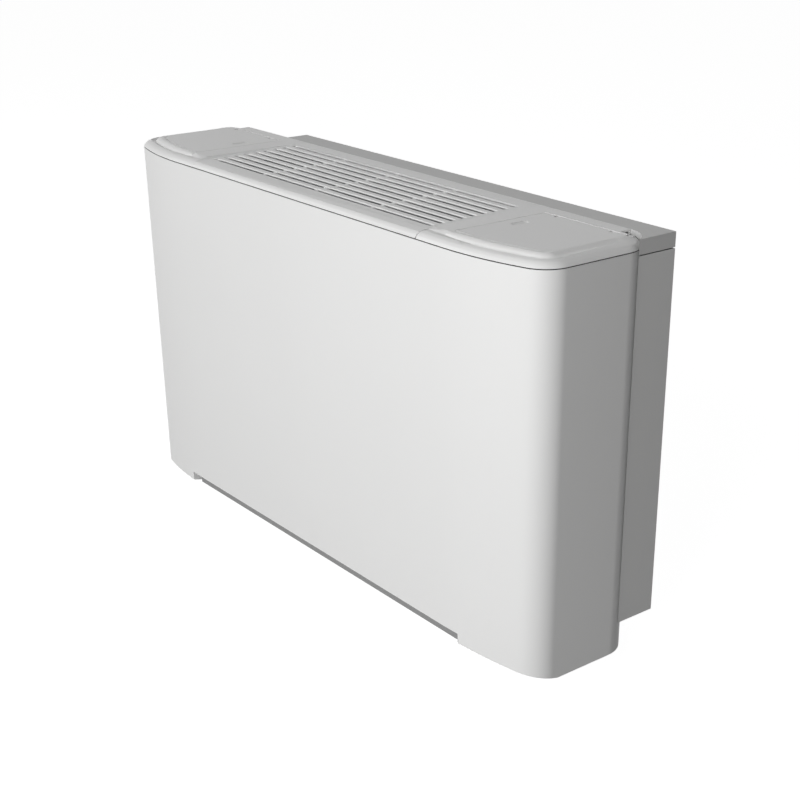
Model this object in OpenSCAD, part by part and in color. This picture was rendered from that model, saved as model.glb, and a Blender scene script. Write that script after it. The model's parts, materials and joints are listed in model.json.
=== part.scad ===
// Wall-hung cabinet fan coil unit.
// Casing coordinates: X along the unit from its centre, Y from the front face to the wall,
// Z up from the casing's lower edge. at_wall() moves them to the wall fixing's centre.

/* [Casing] */
// Width of the sheet casing
casing_w = 972; // [940:1:1100]
// Depth of the casing, front face to its rear edge
casing_d = 204; // [196:1:230]
// Height of the sheet casing, up to the seam under the top mouldings
casing_h = 552; // [545:1:600]
// Thickness of the casing sheet
sheet = 1; // [0.8:0.1:1.5]
// Half width of the flat part of the front
flat_half = 326; // [310:1:335]
// Radius of the front's bow towards each end
bow_r = 470; // [420:5:600]
// Radius of the front vertical corners
corner_r = 40; // [34:1:46]
// Radius of the rear vertical corners
rear_r = 45; // [36:1:50]
// Width of the return behind each rear corner
rear_return = 26; // [18:1:34]
// Width of the inward flange at the casing's top
top_flange = 12; // [8:1:16]
// Left end of the notch at the foot of the front
notch_left = -346; // [-360:1:-346]
// Right end of the notch
notch_right = 357; // [346:1:366]
// Height of the notch
notch_h = 31.5; // [30:0.5:45]
// Depth of the fold at each end of the notch
notch_fold = 22; // [15:1:28]
// Depth of the hem along the notch
notch_hem = 8; // [5:1:10]
// Height of the casing's lower edge at the front
toe_h = 17.5; // [8:0.5:24]
// Depth over which that edge slopes down to the side
toe_d = 65; // [40:1:90]

/* [Top mouldings] */
// Height of the mouldings above the casing seam
top_h = 14; // [13:0.5:18]
// Shadow gap at the casing seam
seam_gap = 1.5; // [0.8:0.1:2]
// Wall of the mouldings
wall = 2.5; // [2:0.1:3]
// Radius of the rounded rim
rim_r = 5; // [3.5:0.5:6]
// Drop from the plateau to the rim
rim_drop = 3.6; // [2.5:0.1:5]
// Gap between neighbouring mouldings
mould_gap = 0.4; // [0.2:0.1:0.8]
// Half width of the grille moulding
grille_half = 272; // [262:1:276]
// Drop from the rim to the valley round the plateau
valley_drop = 1.4; // [0.8:0.1:2]
// Width of the rim's flat, before the valley
rim_flat = 3; // [1:0.5:5]
// Width of each side of the valley
valley_w = 3; // [2:0.5:4]
// Radius of the round from the valley up to the plateau
slope_r = 9; // [7:0.5:12]

/* [Grille] */
// Number of outlet slots
slot_count = 9; // [7:1:9]
// Width of a slot
slot_w = 8; // [6:0.5:9]
// Width of a slat
slat_w = 9.5; // [7:0.5:9.5]
// Thickness of a slat
slat_t = 2.6; // [2.4:0.1:3.6]
// Front edge of the first slot
field_y = 31; // [28:1:34]
// Half length of the slots
field_half = 262; // [240:1:265]
// Number of cross ribs
rib_count = 3; // [1:1:5]
// Width of a cross rib
rib_w = 6; // [4:0.5:8]
// Depth of a cross rib below the slats
rib_h = 9; // [6:0.5:12]

/* [Flaps] */
// Inner end of a flap, from the unit's centre
flap_in = 311; // [305:1:316]
// Outer end of a flap
flap_out = 460; // [450:1:462]
// Setback of a flap's front edge
flap_front = 43; // [40:1:50]
// Rear edge of a flap
flap_rear = 180; // [176:1:182]
// Corner radius at a flap's outer front
flap_corner = 28; // [20:1:32]
// Gap round a flap
flap_gap = 1.2; // [0.5:0.1:1.4]
// Width of the ledge that a flap closes on
ledge_w = 4; // [3:0.5:5]
// Depth of the well under a flap
well_h = 20; // [18:0.5:24]
// Radius of a hinge pin
pin_r = 1.5; // [1.2:0.1:1.8]
// Radial clearance of turning fits
running_gap = 0.05; // [0.03:0.01:0.1]
// Clearance between pieces that pass each other
part_gap = 0.3; // [0.2:0.05:0.5]
// Radius of the finger dimple's scoop
scoop_r = 12; // [10:1:16]
// Depth of the finger dimple
scoop_depth = 1.6; // [1:0.1:1.8]
// Length of the finger dimple along the depth, between its round ends
scoop_len = 16; // [10:1:24]

/* [Rear cover] */
// Depth of the whole unit, front face to wall
unit_d = 240; // [234:1:260]
// Left face of the rear cover
rear_left = -324; // [-330:1:-322]
// Step of the rear cover beyond the casing's side
rear_step = -3; // [-4:0.5:0]
// Lower face of the rear cover
rear_z = 42; // [34:1:50]
// Reach of the rear cover forward from the wall, beside the casing
rear_reach = 65; // [48:1:68]
// Height of the rear cap
cap_h = 19.5; // [16:0.5:22]

/* [Wall fixing] */
// Distance between the wall slots along the unit
fix_w = 540; // [500:5:570]
// Height between the wall slots
fix_h = 360; // [300:5:400]
// Height of the fixing's centre above the casing's lower edge
fix_z = 310; // [290:1:330]
// Width of a wall slot
fix_slot = 8; // [6:0.5:10]
// Length of a wall slot, end to end
fix_slot_len = 20; // [16:1:30]

/* [Chassis] */
// Inner half width of the chassis
chassis_half = 296; // [290:1:300]
// Thickness of the galvanised sheet
galv = 1.5; // [1:0.1:2]
// Front edge of the side plates
plate_y = 34; // [30:1:40]
// Lower edge of the side plates
plate_z = 28; // [28:1:34]
// Clear height between the side plates and the top mouldings
plate_clear = 8; // [6:1:14]
// Height of the fan deck
deck_z = 225; // [222:1:232]
// Height of a casing bracket
bracket_h = 30; // [20:1:40]

/* [Coil] */
// Tubes in each row of the coil
tube_count = 10; // [6:2:10]
// Rows of tubes
row_count = 2; // [2:1:3]
// Pitch of the tubes along the coil's height
tube_pitch = 25; // [22:0.5:25]
// Pitch of the rows
row_pitch = 22; // [20:0.5:24]
// Outside radius of a coil tube
tube_r = 4.76; // [4:0.01:5]
// Clearance of a tube in the fins' collars
collar_gap = 0.04; // [0.02:0.01:0.08]
// Number of fins
fin_count = 36; // [12:1:48]
// Thickness of a fin
fin_t = 0.6; // [0.4:0.1:1]
// Lean of the coil towards the wall, in degrees
coil_tilt = 20; // [15:1:22]
// Front of the coil's foot
coil_y = 50; // [48:1:56]
// Height of the coil's foot
coil_z = 290; // [280:1:300]
// Radius of a water header
header_r = 11; // [9:0.5:12]
// Inside radius of a water connection
union_bore = 9.3; // [8:0.1:9.5]
// Across-corners radius of a water connection
union_r = 15; // [13:0.5:17]

/* [Drain] */
// Height of the drain pan
pan_h = 30; // [22:1:34]
// Depth of the drain pan, front to back
pan_d = 82; // [76:1:84]
// Wall of the drain pan
pan_wall = 2; // [1.5:0.1:3]
// Outside radius of the drain nipple
drain_r = 10; // [8:0.5:11]
// Length of the drain nipple outside the chassis
drain_len = 42; // [30:1:60]

/* [Fans] */
// Distance of the fan shaft from the front
fan_y = 112; // [108:1:116]
// Height of the fan shaft
fan_z = 118; // [112:1:122]
// Outside radius of an impeller
wheel_r = 56; // [50:0.5:57]
// Radial depth of the blades
blade_d = 12; // [9:0.5:13]
// Thickness of a blade
blade_t = 1; // [0.8:0.1:1.5]
// Blades on each impeller
blade_count = 28; // [18:1:32]
// Width of an impeller
wheel_w = 150; // [130:1:156]
// Radius of the scroll at its tongue
scroll_r = 62; // [60:0.5:64]
// Growth of the scroll's radius at each quarter
scroll_step = 8; // [6:0.5:9]
// Width of a scroll housing
scroll_w = 172; // [165:1:178]
// Distance from the unit's centre to a scroll's inner cheek
scroll_x = 62; // [60:1:70]
// Thickness of the scroll's sheet
scroll_t = 1.2; // [1:0.1:1.6]
// Radius of the fan shaft
shaft_r = 6; // [5:0.5:8]
// Radius of the motor
motor_r = 44; // [38:1:48]
// Length of the motor's body
motor_len = 84; // [70:1:88]
// Radius of the motor's end bosses
boss_r = 14; // [12:1:16]
// Radius of the rubber rings
cushion_r = 20; // [18:1:24]

/* [Filter] */
// Half width of the filter frame
filter_half = 342; // [330:1:344]
// Setback of the filter's front edge
filter_y = 13; // [10:1:20]
// Lower face of the filter
filter_z = 11.5; // [10:0.5:14]
// Height of the filter frame
filter_h = 14; // [10:0.5:14]
// Width of the filter frame's bars
filter_bar = 12; // [8:1:16]
// Bays of the filter along the unit
filter_bays = 6; // [3:1:8]
// Thickness of the filter mesh
mesh_t = 1.5; // [1:0.1:2]

/* [Controls] */
// Radius of a knob
knob_r = 15; // [12:0.5:18]
// Height of a knob
knob_h = 11; // [8:0.5:12]
// Radius of a knob's spindle
spindle_r = 3; // [2.5:0.1:4]
// Flutes round a knob
knob_flutes = 16; // [10:1:24]
// Length of the terminal box along the unit
term_l = 62; // [50:1:80]
// Depth of the terminal box
term_d = 110; // [90:1:120]
// Height of the terminal box
term_h = 120; // [90:1:140]
// Bore of the cable gland
gland_bore = 6; // [4:0.1:7]

/* [Hidden] */
$fn = 64;
lap = 1;
blend_lap = 1;
blend_step = 0.02;
half = casing_w / 2;
top_z = casing_h + top_h;
rim_z = top_z - rim_drop;
lip_z = casing_h + seam_gap;
valley_z = rim_z - valley_drop;
u_flat = rim_r + rim_flat;
u_valley = u_flat + valley_w;
slope_h = top_z - valley_z;
u_plateau = u_valley + sqrt(pow(slope_r, 2) - pow(slope_r - slope_h, 2));
cover_in = grille_half + mould_gap / 2;
ramp_in = cover_in + 4;
ramp_out = flap_in - 2;
fade_out = flat_half + 20;
fade_z = valley_z - 0.4;
slot_pitch = slot_w + slat_w;
field_d = slot_count * slot_w + (slot_count - 1) * slat_w;
rib_pitch = 2 * field_half / (rib_count + 1);
flap_t = wall;
hinge_z = top_z - 3.6;
hinge_y = flap_rear - 2;
hinge_room = norm([flap_rear - hinge_y, top_z - hinge_z]) + part_gap;
knuckle_r = 3.2;
ear_r = 2.9;
ear_w = 8;
ear_in = flap_in + 22;
ear_out = flap_out - 28;
knuckle_w = 20;
dimple_at = [flap_in + 21, 120];
slat_round = 1;
ramp_drop = 4.5;
grille_tilt = atan(rim_drop / (casing_d - u_plateau));
nipple_collar = 3;
nipple_edge = 2.5;
well_z = top_z - well_h;
rear_right = half + rear_step;
cap_z = top_z - cap_h;
back_y = unit_d - galv;
plate_top = casing_h - plate_clear;
coil_d = row_count * row_pitch;
coil_h = tube_count * tube_pitch;
coil_half = chassis_half - galv;
bend_r = tube_pitch / 2;
tube_out = chassis_half + galv + 3;
pan_z = deck_z + galv;
pan_y = plate_y + galv + part_gap;
pan_half = chassis_half - part_gap;
drain_z = pan_z + drain_r + 3;
drain_y = pan_y + pan_d / 2;
wheel_x = scroll_x + scroll_w / 2;
scroll_rear = scroll_r + 3 * scroll_step;
tongue_a = 80;
duct_in = scroll_r * cos(tongue_a);
inlet_r = wheel_r - blade_d + 3;
filter_d = casing_d - filter_y - 8;
filter_top = filter_z + filter_h;
guide_t = 1.5;
guide_in = chassis_half + galv;
guide_out = filter_half + part_gap;
panel_t = 2.5;
speed_at = [352, 112];
thermo_at = [414, 118];
term_z = 90;
term_y = 62;
lid_edge = 8;
gland_h = 16;
window_edge = 5;
plate_flange = 12;
bracket_at = [60, 490];
lip_t = 1.5;
lip_len = 6;
ring_w = 14;
ring_t = 2;
hub_len = 30;
boss_len = 12;
cushion_w = 6;
cushion_at = motor_len / 2 + 3;
header_x = tube_out + header_r + 8;
header_end = 6;
header_at = [tube_pitch / 2, coil_h - tube_pitch / 2];
pipe_len = header_r + 14;
union_len = 22;
vent_r = 5;
vent_foot = 3;
vent_h = 9;
pan_fall = 4;
grid_t = 2;
mesh_seat = 5;

WHITE = [0.87, 0.87, 0.86];
MOULD = [0.84, 0.84, 0.83];
GREY = [0.52, 0.52, 0.52];
GALV = [0.66, 0.68, 0.69];
ALU = [0.8, 0.82, 0.83];
COPPER = [0.72, 0.43, 0.28];
BRASS = [0.78, 0.64, 0.32];
BLACK = [0.1, 0.1, 0.11];

// Casing coordinates to the part's frame: origin at the wall fixing's centre
module at_wall() translate([0, -unit_d, -fix_z]) children();
// Child on the right, or mirrored to the left
module on_side(left) mirror([left ? 1 : 0, 0, 0]) children();
// Section drawn in (Y, Z), drawn out along X
module along_x(x, length) translate([x, 0, 0]) rotate([90, 0, 90]) linear_extrude(length) children();
// Section drawn in (X, Z), drawn out along Y
module along_y(y, length) translate([0, y + length, 0]) rotate([90, 0, 0]) linear_extrude(length) children();
// Cylinder from a point along X
module rod_x(at, r, length) translate(at) rotate([0, 90, 0]) cylinder(r = r, h = length);

// Centre of a front corner's circle, for an outline set in from the casing's
function corner_at(edge, front, r) =
    [edge - r, bow_r - sqrt(pow(bow_r - front - r, 2) - pow(edge - r - flat_half, 2))];

// Plan of one end beyond the flat front: bowed front, tight corner, straight side
module end_plan(edge, front, r, rear) {
    centre = corner_at(edge, front, r);
    reach = (bow_r - front + 20) / (bow_r - front - r);
    far = [flat_half + (centre.x - flat_half) * reach, bow_r + (centre.y - bow_r) * reach];
    intersection() {
        translate([flat_half, front - 1]) square([edge - flat_half + 1, rear - front + 1]);
        union() {
            translate(centre) circle(r);
            translate([flat_half, centre.y]) square([edge - flat_half, rear - centre.y]);
            intersection() {
                translate([flat_half, bow_r]) circle(bow_r - front, $fn = 360);
                polygon([[flat_half, bow_r], [flat_half, front - 20], far]);
            }
        }
    }
}

// Plan of the whole casing, set in all round
module casing_plan(inset) {
    edge = half - inset;
    rear = casing_d - inset;
    r = rear_r - inset;
    intersection() {
        union() {
            translate([-flat_half, inset]) square([2 * flat_half, rear - inset]);
            for (side = [0, 1]) mirror([side, 0]) end_plan(edge, inset, corner_r - inset, rear);
        }
        union() {
            translate([-edge - 1, -1]) square([2 * edge + 2, rear - r + 1]);
            translate([r - edge, 0]) square([2 * (edge - r), rear]);
            for (side = [-1, 1]) translate([side * (edge - r), rear - r]) circle(r);
        }
    }
}

// Sheet wrap with top flange, rear returns, notch with its hem and sloping lower edge
module front_casing() {
    rear_open = half - rear_r - rear_return;
    color(WHITE) at_wall() {
        difference() {
            union() {
                linear_extrude(casing_h) difference() {
                    casing_plan(0);
                    casing_plan(sheet);
                }
                translate([0, 0, casing_h - sheet]) linear_extrude(sheet) difference() {
                    casing_plan(sheet / 2);
                    casing_plan(top_flange);
                }
                for (x = [notch_left - sheet, notch_right])
                    translate([x, sheet / 2, 0]) cube([sheet, notch_fold, notch_h + sheet]);
            }
            translate([-rear_open, casing_d - 2 * sheet, -1]) cube([2 * rear_open, 4 * sheet, casing_h - sheet + 1]);
            translate([notch_left, -1, -1]) cube([notch_right - notch_left, toe_d / 2, notch_h + 1]);
            along_x(-half - 1, casing_w + 2)
                polygon([[-1, -1], [-1, toe_h * (1 + 1 / toe_d)], [toe_d, 0], [toe_d, -1]]);
        }
        translate([-flat_half, sheet, notch_h]) cube([2 * flat_half, notch_hem, sheet]);
    }
}

// Section of a moulding's rounded rim: set-in from the casing's outline, height
module rim_round() {
    intersection() {
        translate([rim_r, rim_z - rim_r]) circle(rim_r);
        translate([-1, rim_z - rim_r - lap]) square([rim_r + 1 + lap, rim_r + 1 + lap]);
    }
    translate([rim_r - lap, rim_z - wall]) square([rim_flat + lap, wall]);
    polygon([[0, lip_z], [0, rim_z - rim_r], [wall, rim_z - rim_r], [wall, casing_h], [wall / 2, casing_h],
        [wall / 2, lip_z]]);
}

// Section of an end cover's edge: rim, valley and the round up to the plateau
module cover_edge() {
    rim_round();
    polygon([[u_flat - lap, rim_z], [u_flat, rim_z], [u_valley, valley_z], [u_plateau, valley_z],
        [u_plateau, valley_z - wall], [u_flat - lap, valley_z - wall]]);
    intersection() {
        translate([u_plateau, top_z - slope_r]) circle(slope_r);
        translate([u_plateau - 2 * slope_r, valley_z - lap]) square([2 * slope_r, slope_h + 1 + lap]);
    }
}

// Sweep of an edge section round the right end, from the split to the rear corner
module round_end() {
    corner = corner_at(half, 0, corner_r);
    turn = asin((corner.x - flat_half) / (bow_r - corner_r));
    along_x(cover_in, flat_half - cover_in) children();
    translate([flat_half, bow_r, 0]) rotate([0, 0, -90]) rotate_extrude(angle = turn, $fn = 360)
        translate([bow_r, 0]) mirror([1, 0]) children();
    translate([corner.x, corner.y, 0]) rotate([0, 0, turn - 90 - blend_lap])
        rotate_extrude(angle = 90 - turn + 2 * blend_lap)
            translate([corner_r - blend_step, 0]) mirror([1, 0]) children();
    translate([half, corner.y, 0]) rotate([90, 0, 180]) linear_extrude(casing_d - rear_r - corner.y) children();
    translate([half - rear_r, casing_d - rear_r, 0]) rotate_extrude(angle = 90)
        translate([rear_r, 0]) mirror([1, 0]) children();
}

// Plan of a flap, grown all round and further at its hinge
module flap_plan(grow, rear) {
    translate([flap_in - grow, flap_front - grow]) square([flat_half - flap_in + grow, rear - flap_front + grow]);
    end_plan(flap_out + grow, flap_front - grow, flap_corner + grow, rear);
}

// Roof line of an end cover in (X, Z): level with the grille, then up a ramp to the plateau
module cover_line() {
    polygon([[cover_in, casing_h - 1], [cover_in, rim_z], [ramp_in, rim_z], [ramp_out, top_z], [half + 1, top_z],
        [half + 1, casing_h - 1]]);
}

// Plan of an end cover's plateau, out to the rear edge behind the flap
module plateau_plan() {
    intersection() {
        casing_plan(u_plateau - 1);
        translate([cover_in, 0]) square([half, casing_d]);
    }
    translate([cover_in, casing_d - u_plateau - 1]) square([half - rear_r - cover_in, u_plateau + 1]);
}

// The grille's slope: level at the rim, flush with the plateau at the rear
module on_tilt() translate([0, u_plateau, rim_z]) rotate([grille_tilt, 0, 0]) translate([0, -u_plateau, -rim_z])
    children();

// Ramp between grille and plateau, and the valley's fading floor
module cover_ramp() {
    on_tilt() translate([cover_in, u_plateau - lap, rim_z - wall])
        cube([ramp_out - cover_in, casing_d - u_plateau + lap - mould_gap / 2, wall]);
    along_y(u_valley, casing_d - u_valley) polygon([[cover_in, rim_z - wall], [cover_in, rim_z],
        [ramp_in, rim_z], [ramp_out, top_z], [ramp_out, top_z - wall], [ramp_in, rim_z - wall]]);
    along_y(u_flat - lap, u_plateau - u_flat) polygon([[cover_in, fade_z - lap], [cover_in, rim_z],
        [ramp_in, rim_z], [fade_out, fade_z], [fade_out, fade_z - lap]]);
}

// Lug of the flap's hinge on the cover, with its foot on the well's rear wall
module hinge_ear(x, well_rear) {
    foot_z = hinge_z - hinge_room - 3;
    rod_x([x, hinge_y, hinge_z], ear_r, ear_w);
    translate([x, hinge_y - ear_r, foot_z]) cube([ear_w, 2 * ear_r, hinge_z - foot_z]);
    translate([x, hinge_y - ear_r, foot_z]) cube([ear_w, well_rear - hinge_y + ear_r, 3]);
}

// Moulded cover of one end: rim, valley, plateau, ledge and well for its flap
module end_cover(left) {
    well_rear = hinge_y + hinge_room;
    ledge_z = top_z - flap_t - part_gap;
    color(MOULD) at_wall() on_side(left) difference() {
        union() {
            difference() {
                union() {
                    intersection() {
                        union() {
                            round_end() cover_edge();
                            translate([0, 0, top_z - wall]) linear_extrude(wall) plateau_plan();
                            translate([cover_in, casing_d - wall, casing_h])
                                cube([half - rear_r - cover_in, wall, top_h]);
                        }
                        along_y(-1, casing_d + 2) cover_line();
                    }
                    cover_ramp();
                    translate([0, 0, well_z]) linear_extrude(well_h - wall / 2) difference() {
                        flap_plan(flap_gap + wall, well_rear + wall);
                        flap_plan(flap_gap, well_rear);
                    }
                    translate([0, 0, ledge_z - wall]) linear_extrude(wall) difference() {
                        flap_plan(flap_gap + wall / 2, hinge_y - 2 * knuckle_r);
                        flap_plan(-ledge_w, hinge_y);
                    }
                }
                translate([0, 0, ledge_z]) linear_extrude(top_z) flap_plan(flap_gap, well_rear);
                translate([0, 0, well_z - 1]) linear_extrude(top_z) intersection() {
                    flap_plan(flap_gap, well_rear);
                    translate([cover_in, hinge_y - 2 * knuckle_r + lap]) square([half, casing_d]);
                }
            }
            for (x = [ear_in, ear_out]) hinge_ear(x, well_rear + wall);
        }
        rod_x([ear_in - 1, hinge_y, hinge_z], pin_r + collar_gap, ear_out - ear_in + ear_w + 2);
    }
}
module left_end_cover() end_cover(true);
module right_end_cover() end_cover(false);

// Hinged flap with its knuckles, notches for the cover's lugs and a finger dimple
module end_flap(left) {
    notch = ear_r + 4 * part_gap;
    scoop_z = top_z + scoop_r - scoop_depth;
    color(MOULD) at_wall() on_side(left) difference() {
        union() {
            translate([0, 0, top_z - flap_t]) linear_extrude(flap_t) difference() {
                flap_plan(0, flap_rear);
                for (x = [ear_in, ear_out])
                    translate([x - part_gap, hinge_y - notch]) square([ear_w + 2 * part_gap, 4 * notch]);
            }
            for (x = [ear_in + ear_w + part_gap, ear_out - part_gap - knuckle_w])
                rod_x([x, hinge_y, hinge_z], knuckle_r, knuckle_w);
        }
        rod_x([flap_in - 1, hinge_y, hinge_z], pin_r + running_gap, flap_out - flap_in + 2);
        translate([dimple_at.x, dimple_at.y - scoop_len / 2, scoop_z]) {
            rotate([-90, 0, 0]) cylinder(r = scoop_r, h = scoop_len);
            for (y = [0, scoop_len]) translate([0, y, 0]) sphere(scoop_r);
        }
    }
}
module left_flap() end_flap(true);
module right_flap() end_flap(false);

// Hinge pin held in the cover's lugs
module hinge_pin(left) {
    color(ALU) at_wall() on_side(left)
        rod_x([ear_in - 3, hinge_y, hinge_z], pin_r, ear_out - ear_in + ear_w + 6);
}
module left_hinge_pin() hinge_pin(true);
module right_hinge_pin() hinge_pin(false);

// Section of a slat, or of a rib's top: a bar with round corners
module round_bar(w, h, r) {
    translate([r, 0]) square([w - 2 * r, h]);
    translate([0, r]) square([w, h - 2 * r]);
    for (x = [r, w - r], y = [r, h - r]) translate([x, y]) circle(r);
}

// Notch of a cross rib at one slot: a drop behind the slat, then a ramp up to the next slat
function rib_tooth(y) = [[y - slat_round, rim_z - slat_t / 2], [y - slat_round, rim_z - ramp_drop],
    [y, rim_z - ramp_drop], [y + slot_w, rim_z - slat_t / 2]];

// Cross rib under the slats, with a ramp in each slot
module grille_rib(x) {
    front = field_y - slat_w / 2;
    rear = field_y + field_d + slat_w / 2;
    top = rim_z - slat_t / 2;
    low = rim_z - ramp_drop - rib_h;
    along_x(x, rib_w) polygon(concat([[front, low], [front, top]],
        [for (k = [0 : slot_count - 1]) each rib_tooth(field_y + k * slot_pitch)], [[rear, top], [rear, low]]));
}

// Outlet grille: frame, slats along the unit and cross ribs
module top_grille() {
    inner = grille_half - mould_gap / 2;
    color(MOULD) at_wall() {
        along_x(-inner, 2 * inner) rim_round();
        translate([-inner, rim_r, rim_z - wall]) cube([2 * inner, u_plateau - rim_r, wall]);
        translate([-inner, casing_d - wall, casing_h]) cube([2 * inner, wall, top_h - wall / 2]);
        on_tilt() {
            difference() {
                translate([-inner, u_plateau - lap, rim_z - wall])
                    cube([2 * inner, casing_d - u_plateau + lap - mould_gap / 2, wall]);
                translate([-field_half, field_y, 0]) cube([2 * field_half, field_d, top_z]);
            }
            for (i = [1 : slot_count - 1])
                along_x(-field_half - 1, 2 * field_half + 2)
                    translate([field_y + i * slot_pitch - slat_w, rim_z - slat_t])
                        round_bar(slat_w, slat_t, slat_round);
            for (i = [0 : rib_count + 1]) grille_rib(i * rib_pitch - field_half - rib_w / 2);
        }
    }
}

// Space of the rear cover and cap: behind the casing and beside its right rear corner
module rear_plan(inset) {
    difference() {
        translate([rear_left + inset, unit_d - rear_reach])
            square([rear_right - rear_left - 2 * inset, rear_reach - inset]);
        casing_plan(-mould_gap - inset);
    }
}

// Room inside the rear cover, open to the wall and to the casing, but not at the casing's right rear corner
module rear_room() {
    rear_plan(sheet);
    translate([rear_left + sheet, casing_d]) square([rear_right - rear_left - 2 * sheet, unit_d]);
}

// White sheet folded round the back: left face, right face with a flange along the casing's corner, and bottom
module rear_cover() {
    color(WHITE) at_wall() difference() {
        translate([0, 0, rear_z]) linear_extrude(cap_z - seam_gap - rear_z) rear_plan(0);
        translate([0, 0, rear_z + sheet]) linear_extrude(casing_h) rear_room();
    }
}

// Moulded cap that closes the rear cover's top
module rear_cap() {
    color(MOULD) at_wall() difference() {
        translate([0, 0, cap_z]) linear_extrude(cap_h) rear_plan(0);
        translate([0, 0, cap_z - 1]) linear_extrude(cap_h - wall + 1) rear_plan(wall);
    }
}

// Galvanised back plate with the four wall slots
module back_plate() {
    slot_run = fix_slot_len - fix_slot;
    color(GALV) at_wall() along_y(back_y, galv) difference() {
        translate([rear_left + sheet, rear_z + sheet])
            square([rear_right - rear_left - 2 * sheet, cap_z - seam_gap - rear_z - sheet]);
        for (side = [-1, 1], up = [-1, 1]) translate([side * fix_w / 2, fix_z + up * fix_h / 2]) {
            square([slot_run, fix_slot], center = true);
            for (end = [-1, 1]) translate([end * slot_run / 2, 0]) circle(d = fix_slot);
        }
    }
}

// Coil's own axes: depth across the rows, height along the tubes' pitch, leaning to the wall
module in_coil() translate([0, coil_y, coil_z]) rotate([-coil_tilt, 0, 0]) children();
// Child at each tube of the coil, in (depth, height)
module each_tube() for (row = [0 : row_count - 1], i = [0 : tube_count - 1])
    translate([(row + 0.5) * row_pitch, (i + 0.5) * tube_pitch]) children();

// Galvanised side plate with a window for the coil's bends
module side_plate(left) {
    color(GALV) at_wall() on_side(left) difference() {
        union() {
            along_x(chassis_half, galv) difference() {
                polygon([[plate_y, plate_z], [casing_d, plate_z], [casing_d, rear_z + sheet], [back_y, rear_z + sheet],
                    [back_y, plate_top], [plate_y, plate_top]]);
                translate([coil_y, coil_z]) rotate(-coil_tilt) translate([window_edge, window_edge])
                    square([coil_d - 2 * window_edge, coil_h - 2 * window_edge]);
            }
            translate([chassis_half - plate_flange, plate_y, plate_z])
                cube([plate_flange + galv, galv, plate_top - plate_z]);
        }
        if (left) rod_x([chassis_half - 1, drain_y, drain_z], drain_r + part_gap, galv + 2);
    }
}
module left_side_plate() side_plate(true);
module right_side_plate() side_plate(false);

// Arms from the side plates to the casing's rear returns
module casing_brackets() {
    inner = chassis_half + galv;
    y = casing_d - sheet - galv;
    color(GALV) at_wall() for (left = [true, false], z = bracket_at) on_side(left) {
        translate([inner, y, z]) cube([half - rear_r - inner, galv, bracket_h]);
        translate([inner, y - bracket_h, z]) cube([galv, bracket_h + galv, bracket_h]);
    }
}

// Sheet between fans and coil, with an outlet over each scroll
module fan_deck() {
    front = plate_y + galv;
    color(GALV) at_wall() translate([0, 0, deck_z]) linear_extrude(galv) difference() {
        translate([-chassis_half, front]) square([2 * chassis_half, back_y - front]);
        for (left = [0, 1]) mirror([left, 0]) translate([scroll_x + scroll_t, fan_y + duct_in])
            square([scroll_w - 2 * scroll_t, scroll_rear - duct_in]);
    }
}

// Radius of the scroll at an angle from the wall side, over the top and round to the duct
function scroll_at(a, grow) = (scroll_r + scroll_step * (a - 90) / 90 + grow) * [cos(a), sin(a)];

// Section of a scroll round the shaft, in (Y, Z), with its duct up to the given height
module volute(grow, duct_top) {
    spiral = [for (a = [tongue_a : 7 : 360]) scroll_at(a, grow)];
    duct = [[scroll_rear + grow, 0], [scroll_rear + grow, duct_top], [duct_in - grow, duct_top]];
    translate([fan_y, fan_z]) polygon(concat(spiral, duct));
}

// Scroll housing with an inlet in each cheek
module scroll(left) {
    rise = deck_z - fan_z;
    color(GALV) at_wall() on_side(left) difference() {
        along_x(scroll_x, scroll_w) volute(scroll_t, rise);
        along_x(scroll_x + scroll_t, scroll_w - 2 * scroll_t) volute(0, rise + 1);
        rod_x([scroll_x - 1, fan_y, fan_z], inlet_r, scroll_w + 2);
    }
}
module left_scroll() scroll(true);
module right_scroll() scroll(false);

// Bell mouths on the scrolls' cheeks, with a rolled lip into each inlet
module inlet_rings() {
    color(GALV) at_wall() for (x = [scroll_x, -scroll_x - scroll_w], end = [0, 1])
        translate([x + end * scroll_w, fan_y, fan_z]) rotate([0, end ? 90 : -90, 0]) rotate_extrude() {
            translate([inlet_r - lip_t - collar_gap, -lip_len]) square([lip_t, lip_len + scroll_t]);
            translate([inlet_r - lip_t - collar_gap, 0]) square([ring_w, scroll_t]);
        }
}

// Double-inlet impeller: blades of half-round section between two rings and a centre disc
module impeller(left) {
    inner = wheel_r - blade_d;
    color(GREY) at_wall() on_side(left) translate([wheel_x, fan_y, fan_z]) rotate([0, 90, 0]) difference() {
        union() {
            translate([0, 0, -wheel_w / 2]) linear_extrude(wheel_w) for (i = [0 : blade_count - 1])
                rotate(i * 360 / blade_count) translate([inner + blade_d / 2, 0]) difference() {
                    circle(d = blade_d - lap, $fn = 32);
                    circle(d = blade_d - lap - 2 * blade_t, $fn = 32);
                    translate([-blade_d, -blade_d]) square([2 * blade_d, blade_d]);
                }
            for (z = [-wheel_w / 2, wheel_w / 2 - ring_t]) translate([0, 0, z]) linear_extrude(ring_t) difference() {
                circle(wheel_r);
                circle(inner - 0.5);
            }
            translate([0, 0, -ring_t / 2]) cylinder(r = wheel_r, h = ring_t);
            translate([0, 0, -hub_len / 2]) cylinder(r = 2.2 * shaft_r, h = hub_len);
        }
        cylinder(r = shaft_r + collar_gap, h = wheel_w, center = true);
    }
}
module left_impeller() impeller(true);
module right_impeller() impeller(false);

// Shaft through the motor, carrying both impellers
module fan_shaft() {
    length = 2 * wheel_x + hub_len + 6;
    color(ALU) at_wall() rod_x([-length / 2, fan_y, fan_z], shaft_r, length);
}

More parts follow.
